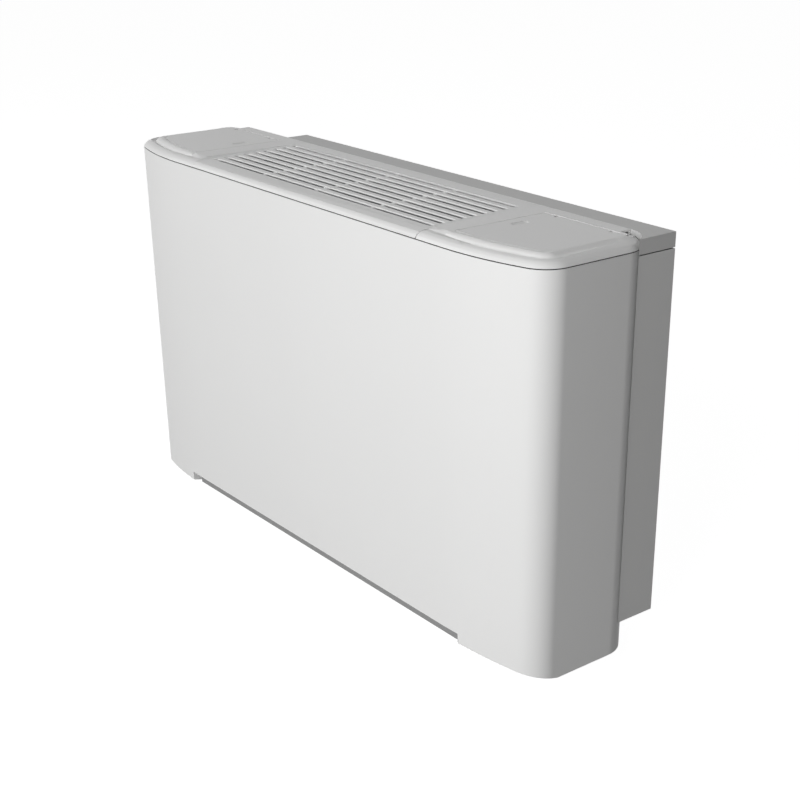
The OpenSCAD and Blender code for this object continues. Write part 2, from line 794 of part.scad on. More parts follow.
// Motor with cooling grooves and an end boss at each side
module motor() {
    groove = motor_len / 9;
    color(BLACK) at_wall() translate([0, fan_y, fan_z]) rotate([0, 90, 0]) difference() {
        union() {
            cylinder(r = motor_r, h = motor_len, center = true);
            cylinder(r = boss_r, h = motor_len + 2 * boss_len, center = true);
        }
        for (i = [-3 : 2 : 3]) translate([0, 0, i * groove]) rotate_extrude()
            translate([motor_r - 3, -groove / 3]) square([4, groove * 2 / 3]);
        cylinder(r = shaft_r + running_gap, h = 2 * motor_len, center = true);
    }
}

// Rubber ring round each of the motor's end bosses
module motor_cushions() {
    color(BLACK) at_wall() for (x = [-cushion_at - cushion_w, cushion_at]) translate([x, fan_y, fan_z])
        rotate([0, 90, 0]) difference() {
            cylinder(r = cushion_r, h = cushion_w);
            translate([0, 0, -1]) cylinder(r = boss_r + collar_gap, h = cushion_w + 2);
        }
}

// Bridge under the fan deck, with a leg round each rubber ring
module motor_bracket() {
    leg_r = cushion_r + 8;
    reach = cushion_at + cushion_w;
    color(GALV) at_wall() {
        for (x = [-reach, cushion_at]) along_x(x, cushion_w) difference() {
            union() {
                translate([fan_y, fan_z]) circle(leg_r);
                translate([fan_y - leg_r, fan_z]) square([2 * leg_r, deck_z - fan_z]);
            }
            translate([fan_y, fan_z]) circle(cushion_r + collar_gap);
        }
        translate([-reach, fan_y - leg_r, deck_z - galv]) cube([2 * reach, 2 * leg_r, galv]);
    }
}

// Fins of the coil, with a collar hole for each tube
module coil_fins() {
    pitch = 2 * coil_half / (fin_count + 1);
    color(ALU) at_wall() in_coil() for (i = [1 : fin_count])
        along_x(i * pitch - coil_half - fin_t / 2, fin_t) difference() {
            square([coil_d, coil_h]);
            each_tube() circle(tube_r + collar_gap, $fn = 32);
        }
}

// End sheets that hang the coil in the side plates
module tube_sheets() {
    color(GALV) at_wall() in_coil() for (x = [-chassis_half, chassis_half - galv]) along_x(x, galv) difference() {
        square([coil_d, coil_h]);
        each_tube() circle(tube_r + collar_gap, $fn = 32);
    }
}

// Return bend at the right end, about the middle of two neighbouring tubes
module return_bend(depth, height) translate([tube_out, depth, height]) rotate([90, 90, 0])
    rotate_extrude(angle = 180) translate([bend_r, 0]) circle(tube_r, $fn = 32);

// Serpentine copper tubes, one run in each row
module coil_tubes() {
    color(COPPER) at_wall() in_coil() {
        rotate([90, 0, 90]) translate([0, 0, -tube_out]) linear_extrude(2 * tube_out) each_tube() circle(tube_r, $fn = 32);
        for (row = [0 : row_count - 1]) {
            depth = (row + 0.5) * row_pitch;
            for (i = [1 : 2 : tube_count - 1]) return_bend(depth, i * tube_pitch);
            for (i = [2 : 2 : tube_count - 2]) mirror([1, 0, 0]) return_bend(depth, i * tube_pitch);
        }
    }
}

// Inlet and outlet headers at the left end, each with its pipe
module water_headers() {
    color(COPPER) at_wall() in_coil() for (height = header_at) {
        translate([-header_x, -header_end, height]) rotate([-90, 0, 0])
            cylinder(r = header_r, h = coil_d + 2 * header_end);
        for (row = [0 : row_count - 1])
            rod_x([-header_x, (row + 0.5) * row_pitch, height], tube_r, header_x - tube_out);
        rod_x([-header_x - pipe_len, coil_d / 2, height], header_r - 1.5, pipe_len);
    }
    color(COPPER) at_wall() in_coil() translate([-header_x, coil_d / 2, header_at[1]])
        cylinder(r = vent_r + 1, h = header_r + vent_foot);
}

// Hexagonal unions with a threaded socket for the pipework
module water_unions() {
    color(BRASS) at_wall() in_coil() for (height = header_at)
        translate([-header_x - pipe_len - union_len, coil_d / 2, height]) rotate([0, 90, 0]) difference() {
            cylinder(r = union_r, h = union_len, $fn = 6);
            translate([0, 0, -1]) cylinder(r = union_bore, h = union_len + 2);
        }
}

// Bleed valve on the upper header
module air_vent() {
    color(BRASS) at_wall() in_coil() translate([-header_x, coil_d / 2, header_at[1] + header_r + vent_foot]) {
        cylinder(r = vent_r, h = vent_h);
        translate([0, 0, vent_h]) difference() {
            cylinder(r = vent_r * 0.7, h = vent_h / 3);
            translate([-vent_r, -0.5, vent_h / 6]) cube([2 * vent_r, 1, vent_h]);
        }
    }
}

// Tray under the coil, its floor falling to the drain end
module drain_pan() {
    inner = pan_half - pan_wall;
    color(GREY) at_wall() difference() {
        translate([-pan_half, pan_y, pan_z]) cube([2 * pan_half, pan_d, pan_h]);
        along_y(pan_y + pan_wall, pan_d - 2 * pan_wall) polygon([[-inner, pan_z + pan_wall],
            [inner, pan_z + pan_wall + pan_fall], [inner, pan_z + pan_h + 1], [-inner, pan_z + pan_h + 1]]);
        rod_x([-pan_half - 1, drain_y, drain_z], drain_r - pan_wall, pan_wall + 2);
    }
}

// Hose nipple of the drain pan, out through the left side plate
module drain_nipple() {
    collar_at = chassis_half + galv + part_gap - pan_half;
    length = collar_at + nipple_collar + drain_len;
    color(GREY) at_wall() translate([-pan_half, drain_y, drain_z]) rotate([0, -90, 0]) difference() {
        union() {
            cylinder(r = drain_r - pan_wall / 2, h = length / 2);
            translate([0, 0, collar_at]) cylinder(r = drain_r + nipple_edge, h = nipple_collar);
            translate([0, 0, collar_at + lap]) cylinder(r = drain_r, h = length - collar_at - lap);
        }
        translate([0, 0, -1]) cylinder(r = drain_r - pan_wall, h = length + 2);
    }
}

// Sliding filter frame: a grid of bays below, a wall round the mesh above
module filter_frame() {
    bay_w = (2 * filter_half - (filter_bays + 1) * filter_bar) / filter_bays;
    rim = filter_bar - mesh_seat;
    color(GREY) at_wall() translate([0, filter_y, filter_z]) {
        linear_extrude(grid_t) difference() {
            translate([-filter_half, 0]) square([2 * filter_half, filter_d]);
            for (i = [0 : filter_bays - 1])
                translate([filter_bar - filter_half + i * (bay_w + filter_bar), filter_bar])
                    square([bay_w, filter_d - 2 * filter_bar]);
        }
        linear_extrude(filter_h) difference() {
            translate([-filter_half, 0]) square([2 * filter_half, filter_d]);
            translate([rim - filter_half, rim]) square([2 * (filter_half - rim), filter_d - 2 * rim]);
        }
    }
}

// Filter mesh on the frame's grid
module filter_mesh() {
    edge = filter_bar - mesh_seat + part_gap;
    color(BLACK) at_wall() translate([edge - filter_half, filter_y + edge, filter_z + grid_t])
        cube([2 * (filter_half - edge), filter_d - 2 * edge, mesh_t]);
}

// Channels that the filter slides in, hung on the side plates
module filter_guides() {
    low = filter_z - part_gap;
    high = filter_top + part_gap;
    color(GALV) at_wall() for (left = [true, false]) on_side(left) along_y(filter_y + filter_bar, filter_d - filter_bar)
        polygon([[guide_in, high], [guide_in, high + guide_t], [guide_out + guide_t, high + guide_t],
            [guide_out + guide_t, low - guide_t], [guide_out - filter_bar, low - guide_t],
            [guide_out - filter_bar, low], [guide_out, low], [guide_out, high]]);
}

// Terminal box on the right side plate, open towards its lid
module terminal_box() {
    color(GREY) at_wall() translate([chassis_half + galv, term_y, term_z]) difference() {
        cube([term_l, term_d, term_h]);
        translate([wall, wall, wall]) cube([term_l, term_d - 2 * wall, term_h - 2 * wall]);
        translate([term_l / 2, term_d / 2, -1]) cylinder(r = gland_bore + wall, h = wall + 2);
    }
}

// Lid of the terminal box, with a raised field
module terminal_lid() {
    color(GREY) at_wall() translate([chassis_half + galv + term_l, term_y, term_z]) {
        cube([wall, term_d, term_h]);
        translate([wall, lid_edge, lid_edge]) cube([wall / 2, term_d - 2 * lid_edge, term_h - 2 * lid_edge]);
    }
}

// Cable gland under the terminal box
module cable_gland() {
    color(BLACK) at_wall() translate([chassis_half + galv + term_l / 2, term_y + term_d / 2, term_z]) difference() {
        union() {
            translate([0, 0, -gland_h / 2]) cylinder(r = gland_bore + 5, h = gland_h / 2, $fn = 6);
            translate([0, 0, -gland_h]) cylinder(r = gland_bore + 3, h = gland_h / 2 + 1);
        }
        translate([0, 0, -gland_h - 1]) cylinder(r = gland_bore, h = gland_h + 2);
    }
}

// Control panel under the right flap
module control_panel() {
    rear = hinge_y + hinge_room + wall;
    color(GREY) at_wall() translate([0, 0, well_z - panel_t]) linear_extrude(panel_t) difference() {
        flap_plan(flap_gap + wall, rear);
        for (at = [speed_at, thermo_at]) translate(at) circle(spindle_r + running_gap);
    }
}

// Fluted knob with a pointer ridge and its spindle through the panel
module knob(at) {
    color(BLACK) at_wall() translate([at.x, at.y, well_z]) {
        difference() {
            translate([0, 0, part_gap]) cylinder(r = knob_r, h = knob_h);
            for (i = [0 : knob_flutes - 1]) rotate(i * 360 / knob_flutes) translate([knob_r + 0.8, 0, 2])
                cylinder(r = 2, h = knob_h, $fn = 24);
        }
        translate([-1, 0, part_gap + knob_h - 1]) cube([2, knob_r - 4, 2]);
        translate([0, 0, -panel_t - 4]) cylinder(r = spindle_r, h = panel_t + 4 + part_gap + 1);
    }
}
module speed_knob() knob(speed_at);
module thermostat_knob() knob(thermo_at);

front_casing();
top_grille();
left_end_cover();
right_end_cover();
left_flap();
right_flap();
left_hinge_pin();
right_hinge_pin();
rear_cover();
rear_cap();
back_plate();
left_side_plate();
right_side_plate();
casing_brackets();
fan_deck();
left_scroll();
right_scroll();
inlet_rings();
left_impeller();
right_impeller();
fan_shaft();
motor();
motor_cushions();
motor_bracket();
coil_fins();
coil_tubes();
tube_sheets();
water_headers();
water_unions();
air_vent();
drain_pan();
drain_nipple();
filter_frame();
filter_mesh();
filter_guides();
terminal_box();
terminal_lid();
cable_gland();
control_panel();
speed_knob();
thermostat_knob();
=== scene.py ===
import json
import math

import bmesh
import bpy
from mathutils import Matrix, Vector
from mathutils.bvhtree import BVHTree


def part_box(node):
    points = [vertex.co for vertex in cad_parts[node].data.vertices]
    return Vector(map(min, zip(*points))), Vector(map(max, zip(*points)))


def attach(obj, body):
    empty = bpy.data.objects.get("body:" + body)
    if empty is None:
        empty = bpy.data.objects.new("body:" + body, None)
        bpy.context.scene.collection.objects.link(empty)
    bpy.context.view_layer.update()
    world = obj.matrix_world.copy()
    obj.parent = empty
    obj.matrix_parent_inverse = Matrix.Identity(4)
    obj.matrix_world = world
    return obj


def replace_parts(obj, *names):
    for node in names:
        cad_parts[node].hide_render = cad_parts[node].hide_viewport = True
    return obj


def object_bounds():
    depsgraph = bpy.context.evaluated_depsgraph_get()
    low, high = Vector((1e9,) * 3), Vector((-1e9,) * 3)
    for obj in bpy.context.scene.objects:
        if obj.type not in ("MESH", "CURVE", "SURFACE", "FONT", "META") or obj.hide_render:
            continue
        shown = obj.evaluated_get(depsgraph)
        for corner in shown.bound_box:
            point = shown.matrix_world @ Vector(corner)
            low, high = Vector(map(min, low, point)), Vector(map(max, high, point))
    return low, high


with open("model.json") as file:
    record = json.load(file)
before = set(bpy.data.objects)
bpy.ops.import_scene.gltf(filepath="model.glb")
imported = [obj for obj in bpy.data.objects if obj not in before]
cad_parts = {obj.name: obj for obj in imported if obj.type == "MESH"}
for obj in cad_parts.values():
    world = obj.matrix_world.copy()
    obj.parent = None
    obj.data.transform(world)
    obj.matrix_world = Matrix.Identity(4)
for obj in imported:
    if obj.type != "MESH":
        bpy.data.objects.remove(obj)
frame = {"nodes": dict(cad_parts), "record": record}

CAD_BOX = [list(corner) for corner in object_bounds()]
NODES = frame["nodes"]


# Shader maths

class Shade:
    """A shader value. Python's operators on it add Math nodes, and add() adds any other node."""

    def __init__(self, tree, socket):
        self.tree = tree
        self.socket = socket

    def add(self, kind, inputs, out=0, **settings):
        """One node: its settings first, then the values or links of its sockets."""
        node = self.tree.nodes.new(kind)
        for name, value in settings.items():
            if name == "stops":
                set_stops(node.color_ramp, value)
            else:
                setattr(node, name, value)
        for key, value in inputs.items():
            feed(self.tree, node.inputs[key], value)
        return Shade(self.tree, node.outputs[out])

    def math(self, operation, first, second):
        return self.add("ShaderNodeMath", {0: first, 1: second}, operation=operation)

    def __add__(self, other):
        return self.math("ADD", self, other)

    __radd__ = __add__

    def __sub__(self, other):
        return self.math("SUBTRACT", self, other)

    def __rsub__(self, other):
        return self.math("SUBTRACT", other, self)

    def __mul__(self, other):
        return self.math("MULTIPLY", self, other)

    __rmul__ = __mul__

    def over(self, limit):
        return self.math("GREATER_THAN", self, limit)

    def wave(self, period):
        """Smooth wave from 0 to 1 along this coordinate."""
        turn = self * (2 * math.pi / period)
        return self.add("ShaderNodeMath", {0: turn}, operation="SINE") * 0.5 + 0.5

    def part(self, axis):
        """One coordinate of a vector: X, Y or Z."""
        return self.add("ShaderNodeSeparateXYZ", {"Vector": self}, out=axis)

    def noise(self, scale, detail=3.0):
        return self.add("ShaderNodeTexNoise", {"Vector": self, "Scale": scale, "Detail": detail}, out="Fac")

    def ramp(self, *stops):
        """Colour or value between the given (place, colour) stops."""
        return self.add("ShaderNodeValToRGB", {"Fac": self}, out="Color", stops=stops)

    def stretched(self, x, y, z):
        return self.add("ShaderNodeMapping", {"Vector": self, "Scale": (x, y, z)})

    def bump(self, strength, distance):
        inputs = {"Height": self, "Strength": strength, "Distance": distance}
        return self.add("ShaderNodeBump", inputs, out="Normal")


def set_stops(color_ramp, stops):
    for spare in range(len(stops) - len(color_ramp.elements)):
        color_ramp.elements.new(0.5)
    for element, (place, colour) in zip(color_ramp.elements, stops):
        element.position = place
        element.color = (*colour, 1.0)


def feed(tree, socket, value):
    if isinstance(value, Shade):
        tree.links.new(value.socket, socket)
    elif isinstance(value, tuple) and len(value) == 3 and len(socket.default_value) == 4:
        socket.default_value = (*value, 1.0)
    else:
        socket.default_value = value


def finish(name):
    """New material: its shader's inputs as a dictionary filler, and the object coordinates."""
    material = bpy.data.materials.new(name)
    material.use_nodes = True
    tree = material.node_tree
    shader = tree.nodes["Principled BSDF"]
    coords = Shade(tree, tree.nodes.new("ShaderNodeTexCoord").outputs["Object"])

    def fill(**inputs):
        for key, value in inputs.items():
            feed(tree, shader.inputs[key.replace("_", " ")], value)
        return material

    return fill, coords


def grey(level):
    return (level, level, level)


def tinted(colour, share):
    return tuple(channel * share for channel in colour)


# Finishes

def powder_coat(name, colour):
    """Baked powder paint: faint orange peel, an even tone that drifts a little over a whole panel."""
    fill, at = finish(name)
    peel = at.noise(420.0, 2.0)
    drift = at.noise(2.2, 2.0)
    speck = at.noise(2600.0, 2.0)
    tone = (drift * 0.7 + speck * 0.3).ramp((0.35, tinted(colour, 0.985)), (0.65, tinted(colour, 1.01)))
    return fill(Base_Color=tone, Roughness=peel * 0.08 + 0.4, Specular_IOR_Level=0.4,
                Normal=(peel * 0.8 + speck * 0.2).bump(0.12, 0.0004))


def moulding(name, colour, rough, grain=1500.0, depth=0.16):
    """Spark-eroded moulded plastic: fine grain, slight flow marks."""
    fill, at = finish(name)
    spark = at.noise(grain, 3.0)
    flow = at.stretched(1.0, 4.0, 1.0).noise(5.0, 2.0)
    tone = (flow * 0.6 + spark * 0.4).ramp((0.3, tinted(colour, 0.975)), (0.7, tinted(colour, 1.015)))
    return fill(Base_Color=tone, Roughness=spark * 0.12 + rough, Normal=spark.bump(depth, 0.0003))


def gloss_moulding(name, colour):
    """Polished moulding: even, glossy, with only a trace of grain and slow flow marks."""
    fill, at = finish(name)
    grain = at.noise(1800.0, 2.0)
    flow = at.stretched(1.0, 4.0, 1.0).noise(4.0, 2.0)
    tone = (flow * 0.7 + grain * 0.3).ramp((0.3, tinted(colour, 0.985)), (0.7, tinted(colour, 1.01)))
    return fill(Base_Color=tone, Roughness=flow * 0.05 + grain * 0.04 + 0.26, Specular_IOR_Level=0.4,
                Normal=grain.bump(0.05, 0.0002))


def galvanised(name):
    """Hot-dipped sheet: zinc spangles of slightly different grey and sheen."""
    fill, at = finish(name)
    cells = at.add("ShaderNodeTexVoronoi", {"Vector": at, "Scale": 95.0, "Randomness": 1.0}, out="Color")
    spangle = cells.part("X")
    fine = at.noise(900.0, 4.0)
    tone = (spangle * 0.75 + fine * 0.25).ramp((0.1, (0.40, 0.42, 0.43)), (0.9, (0.62, 0.64, 0.66)))
    return fill(Base_Color=tone, Metallic=0.9, Roughness=spangle * 0.16 + fine * 0.12 + 0.3,
                Normal=(spangle * 0.4 + fine * 0.6).bump(0.08, 0.0003))


def metal(name, colour, rough, stretch, tarnish=0.75):
    """Drawn or ground metal: fine lines along one axis and a faint tarnish."""
    fill, at = finish(name)
    lines = at.stretched(*stretch).noise(700.0, 4.0)
    stain = at.noise(28.0, 4.0)
    tone = (stain * 0.7 + lines * 0.3).ramp((0.3, tinted(colour, tarnish)), (0.65, colour))
    return fill(Base_Color=tone, Metallic=1.0, Roughness=lines * 0.18 + stain * 0.1 + rough,
                Normal=lines.bump(0.08, 0.0002))


def foil(name):
    """Rolled fin foil: bright, with a corrugation across the air flow."""
    fill, at = finish(name)
    ripple = at.part("Z").wave(0.0042)
    lines = at.stretched(1.0, 1.0, 0.05).noise(900.0, 3.0)
    tone = lines.ramp((0.3, (0.66, 0.68, 0.7)), (0.7, (0.8, 0.81, 0.82)))
    return fill(Base_Color=tone, Metallic=1.0, Roughness=lines * 0.15 + 0.26, Normal=ripple.bump(0.5, 0.0006))


def rubber(name):
    fill, at = finish(name)
    grain = at.noise(1100.0, 4.0)
    bloom = at.noise(45.0, 3.0)
    tone = bloom.ramp((0.35, grey(0.02)), (0.7, grey(0.045)))
    return fill(Base_Color=tone, Roughness=grain * 0.15 + 0.68, Normal=grain.bump(0.3, 0.0004))


def woven_mesh(name):
    """Filter net: two sets of threads at right angles, dark in the gaps between them."""
    fill, at = finish(name)
    pitch = 0.0022
    across = at.part("X").wave(pitch)
    along = at.part("Y").wave(pitch)
    thread = at.math("MAXIMUM", across, along)
    fuzz = at.noise(1800.0, 3.0)
    tone = (thread * 0.85 + fuzz * 0.15).ramp((0.45, grey(0.012)), (0.85, grey(0.1)))
    return fill(Base_Color=tone, Roughness=0.75 - thread * 0.15, Normal=thread.bump(0.7, 0.0006))


WHITE_PAINT = (0.80, 0.80, 0.795)
WHITE_MOULD = (0.765, 0.765, 0.76)
# The rear cover and rear cap are the same white as the rest. Their greyer tones here are painted shade,
# standing in for the darker light on the rear box.
REAR_WHITE_PAINTED_SHADE = (0.66, 0.66, 0.655)
REAR_MOULD_PAINTED_SHADE = (0.56, 0.56, 0.555)
FINISHES = {
    "casing_white": powder_coat("powder_coat_white", WHITE_PAINT),
    "moulded_white": gloss_moulding("moulded_white", WHITE_MOULD),
    "galvanised": galvanised("galvanised_sheet"),
    "steel": metal("ground_steel", (0.56, 0.56, 0.57), 0.24, (0.05, 1.0, 1.0)),
    "impeller_plastic": moulding("impeller_plastic", (0.075, 0.078, 0.08), 0.45),
    "motor_paint": powder_coat("motor_paint", (0.03, 0.03, 0.032)),
    "rubber": rubber("cushion_rubber"),
    "fin_aluminium": foil("fin_foil"),
    "copper": metal("drawn_copper", (0.78, 0.36, 0.22), 0.22, (0.05, 1.0, 1.0), 0.6),
    "brass": metal("turned_brass", (0.72, 0.52, 0.2), 0.24, (1.0, 0.05, 0.05), 0.7),
    "grey_plastic": moulding("grey_plastic", (0.2, 0.2, 0.205), 0.45),
    "filter_grey": moulding("filter_grey", (0.25, 0.25, 0.25), 0.5),
    "mesh_black": woven_mesh("filter_net"),
    "black_plastic": moulding("black_plastic", (0.02, 0.02, 0.022), 0.4),
}


def dress_nodes():
    """Gives each CAD node the finish of its material slot."""
    for row in frame["record"]["subparts"]:
        mesh = NODES[row["node"]].data
        mesh.materials.clear()
        mesh.materials.append(FINISHES[row["material_slot"]])


# Skins: merged copies of the visible mouldings and sheets, smooth across their tangent faces

WELD = 1e-6
CREASE = math.radians(28)
SKINS = ("front_casing", "top_grille", "left_end_cover", "right_end_cover", "left_flap", "right_flap",
         "rear_cover", "rear_cap")
BODY_OF = {node: body for body, nodes in frame["record"]["behaviour"]["bodies"].items() for node in nodes}
SLOT_OF = {row["node"]: row["material_slot"] for row in frame["record"]["subparts"]}
# Darker copies of the white paint and moulding for the rear cover and rear cap: painted shade.
PAINTED_SHADE_FINISHES = {"rear_cover": powder_coat("powder_coat_painted_shade", REAR_WHITE_PAINTED_SHADE),
                 "rear_cap": moulding("moulded_painted_shade", REAR_MOULD_PAINTED_SHADE, 0.4)}


def add_piece(name, shape, body, slot, material=None):
    """Bmesh to an object at the origin that rides on a body."""
    mesh = bpy.data.meshes.new(name)
    shape.to_mesh(mesh)
    shape.free()
    if "custom_normal" in mesh.attributes:
        mesh.attributes.remove(mesh.attributes["custom_normal"])
    mesh.materials.clear()
    mesh.materials.append(material or FINISHES[slot])
    piece = bpy.data.objects.new(name, mesh)
    bpy.context.scene.collection.objects.link(piece)
    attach(piece, body)
    return piece


def shade_by_angle(shape, crease=CREASE):
    for face in shape.faces:
        face.smooth = True
    for edge in shape.edges:
        edge.smooth = len(edge.link_faces) == 2 and edge.calc_face_angle() < crease


def merged_copy(node):
    shape = bmesh.new()
    shape.from_mesh(NODES[node].data)
    bmesh.ops.remove_doubles(shape, verts=shape.verts, dist=WELD)
    return shape


# Rims of the top mouldings: a wider and fuller round than the solids', with a deeper valley behind it.
# Set-in is the distance inwards from the casing's outline.

TOP_Z = CAD_BOX[1][2]
FRONT_Y = CAD_BOX[0][1]
WIDE_RIMS = ("left_end_cover", "right_end_cover", "left_flap", "right_flap")
ROUND_RIMS = ("top_grille", "left_end_cover", "right_end_cover")
SHEET = 0.001
PROBE_Z = 0.15
MIDST = Vector((0.0, -0.13, PROBE_Z))
ON_RIM = 0.00012
NEAR_RIM = 0.0004
UPWARD = 0.3

# The solids' rim, from the seam up to the crest, then the valley and the slope to the plateau
LIP_Z, BEND_Z, CREST_Z = 0.2435, 0.2474, 0.2524
RIM_R, RIM_FLAT = 0.005, 0.008
VALLEY_AT, VALLEY_END, SLOPE_END = 0.011, 0.019, 0.0191
VALLEY_LOW = 0.2502
RAMP_OUT = 0.330

# The rim that is made of it: set-in on the solids and in the scene
RIM_WIDE = 0.0120
RIM_SLOPES = (math.radians(68), math.radians(12))
SKIRT_SHARE, ROUND_SHARE = 0.25, 0.5
RIM_WIDTHS = ((0.0, 0.0), (RIM_FLAT, RIM_WIDE), (VALLEY_AT, 0.0190), (VALLEY_END, 0.0270),
              (0.0418, 0.0316), (0.043, 0.0328), (0.070, 0.070))
GRILLE_WIDTHS = ((0.0, 0.0), (RIM_FLAT, RIM_WIDE), (0.026, 0.026))
VALLEY_SINK = 0.0016
VALLEY_DEPTHS = ((0.0, 0.0), (RIM_FLAT, 0.0), (VALLEY_AT, VALLEY_SINK), (VALLEY_END, 0.0), (1.0, 0.0))
SLOPE_HEIGHTS = ((RIM_FLAT, CREST_Z), (SLOPE_END, TOP_Z))
NARROW_BACK = (0.150, 0.185)
FILL_BACK = (0.060, 0.140)
SINK_ALONG = (0.285, 0.365)

# The end of the valley towards the grille, and the joint of grille and end covers
FADE_FROM, FADE_TO = 0.2722, 0.350
FADE_SET_IN = (0.0079, 0.0235)
FADE_CUTS = 5
FADE_PASSES = 90
FADE_CREASE = math.radians(70)
FADE_BACK = 0.030
JOINT_ROUND = 0.0020
JOINT_BACK = 0.040
JOINT_CORNER = 1.0


def ease(value, start, end):
    share = min(max((value - start) / (end - start), 0.0), 1.0)
    return share * share * (3 - 2 * share)


def between(value, table):
    """Straight line between the points of a table."""
    for (low, first), (high, second) in zip(table, table[1:]):
        if value <= high:
            return first + (second - first) * (value - low) / (high - low)
    return value


def from_outline(point, casing):
    """Set-in of a point from the casing's outline, and the direction inwards."""
    probe = Vector((point.x, point.y, PROBE_Z))
    wall, normal, _, distance = casing.find_nearest(probe)
    beyond = (probe - wall).dot(normal)
    if distance < SHEET and normal.dot(wall - MIDST) > 0:
        return max(-beyond, 0.0), -normal
    if distance < SHEET and beyond < ON_RIM:
        return SHEET + beyond, normal
    return SHEET + distance, (probe - wall) / distance


def place_on_rim(set_in, z):
    """How far round the rim a point of its surface lies, from 0 at the seam to 1 at the crest, or None."""
    if set_in < NEAR_RIM and LIP_Z - ON_RIM < z < BEND_Z:
        return max(z - LIP_Z, 0.0) / (BEND_Z - LIP_Z) * SKIRT_SHARE
    if set_in < RIM_R and z >= BEND_Z:
        across, up = RIM_R - set_in, z - BEND_Z
        on = abs(math.hypot(across, up) - RIM_R) < NEAR_RIM
        return SKIRT_SHARE + ROUND_SHARE * math.atan2(up, across) / (math.pi / 2) if on else None
    if RIM_R <= set_in < RIM_FLAT + NEAR_RIM and abs(z - CREST_Z) < ON_RIM:
        curved = SKIRT_SHARE + ROUND_SHARE
        return min(curved + (1.0 - curved) * (set_in - RIM_R) / (RIM_FLAT - RIM_R), 1.0)
    return None


def shape_rim(shape, node, casing):
    """Rounds and widens the rim. On the end covers it also sinks the valley, and fills it at the rear."""
    foot, crest = RIM_SLOPES
    widths = RIM_WIDTHS if node in WIDE_RIMS else GRILLE_WIDTHS
    for vert in shape.verts:
        set_in, inwards = from_outline(vert.co, casing)
        share = 1 - ease(vert.co.y - FRONT_Y, *NARROW_BACK)
        round_at = place_on_rim(set_in, vert.co.z) if node in ROUND_RIMS else None
        if round_at is not None:
            slope = foot + (crest - foot) * round_at
            reach = RIM_FLAT + (RIM_WIDE - RIM_FLAT) * share
            along = (math.sin(foot) - math.sin(slope)) / (math.sin(foot) - math.sin(crest))
            risen = (math.cos(slope) - math.cos(foot)) / (math.cos(crest) - math.cos(foot))
            vert.co.z = LIP_Z + (CREST_Z - LIP_Z) * risen
            vert.co += inwards * (reach * along - set_in)
        else:
            if vert.co.z > VALLEY_LOW and node in WIDE_RIMS:
                vert.co.z -= ease(abs(vert.co.x), *SINK_ALONG) * share * between(set_in, VALLEY_DEPTHS)
            if node in ROUND_RIMS and vert.normal.z > UPWARD and RIM_FLAT < set_in < SLOPE_END:
                filled = between(set_in, SLOPE_HEIGHTS)
                vert.co.z += ease(vert.co.y - FRONT_Y, *FILL_BACK) * max(filled - vert.co.z, 0.0)
            vert.co += inwards * share * (between(set_in, widths) - set_in)


def round_joint(shape, node):
    """Rounds the rim's edge where grille and end covers meet, so that the joint shows as a fine groove."""
    low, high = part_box(node)
    ends = (low[0], high[0]) if node == "top_grille" else (min(low[0], high[0], key=abs),)
    meeting = [edge for edge in shape.edges
               if len(edge.link_faces) == 2 and edge.calc_face_angle() > JOINT_CORNER
               and any(all(abs(vert.co.x - end) < ON_RIM for vert in edge.verts) for end in ends)
               and all(vert.co.z > LIP_Z - ON_RIM for vert in edge.verts)
               and all(vert.co.y - FRONT_Y < JOINT_BACK for vert in edge.verts)
               and any(face.normal.z - face.normal.y > UPWARD and abs(face.normal.x) < UPWARD
                       for face in edge.link_faces)]
    bmesh.ops.bevel(shape, geom=meeting, offset=JOINT_ROUND, offset_type="OFFSET", affect="EDGES", segments=2,
                    profile=0.5, material=-1, clamp_overlap=True)


def lean_ramp(shape, casing):
    """Leans the ramp's front end back, in line with the plateau's slope."""
    for vert in shape.verts:
        set_in, inwards = from_outline(vert.co, casing)
        climb = (vert.co.z - CREST_Z) / (TOP_Z - CREST_Z)
        if abs(vert.co.x) < RAMP_OUT and abs(set_in - VALLEY_AT) < NEAR_RIM and climb > 0:
            vert.co += inwards * (SLOPE_END - VALLEY_AT) * climb


def melt_fade(shape, casing):
    """Smooths the surface where the valley fades out towards the grille."""
    def within(vert, margin):
        set_in = from_outline(vert.co, casing)[0]
        return (FADE_FROM + margin < abs(vert.co.x) < FADE_TO - margin and vert.normal.z > UPWARD
                and FADE_SET_IN[0] + margin < set_in < FADE_SET_IN[1] - margin)
    shape.normal_update()
    inner = {vert for vert in shape.verts if within(vert, 0.0)}
    edges = [edge for edge in shape.edges if all(vert in inner for vert in edge.verts)]
    bmesh.ops.subdivide_edges(shape, edges=edges, cuts=FADE_CUTS, use_grid_fill=True)
    shape.normal_update()
    loose = [vert for vert in shape.verts if within(vert, ON_RIM)]
    for _ in range(FADE_PASSES):
        bmesh.ops.smooth_vert(shape, verts=loose, factor=0.5, use_axis_x=False, use_axis_y=False,
                              use_axis_z=True)


def soften(shape):
    """Soft shading where the valley fades out towards the grille."""
    for edge in shape.edges:
        middle = (edge.verts[0].co + edge.verts[1].co) / 2
        if abs(middle.x) < FADE_TO and middle.y - FRONT_Y < FADE_BACK and len(edge.link_faces) == 2:
            edge.smooth = edge.calc_face_angle() < FADE_CREASE


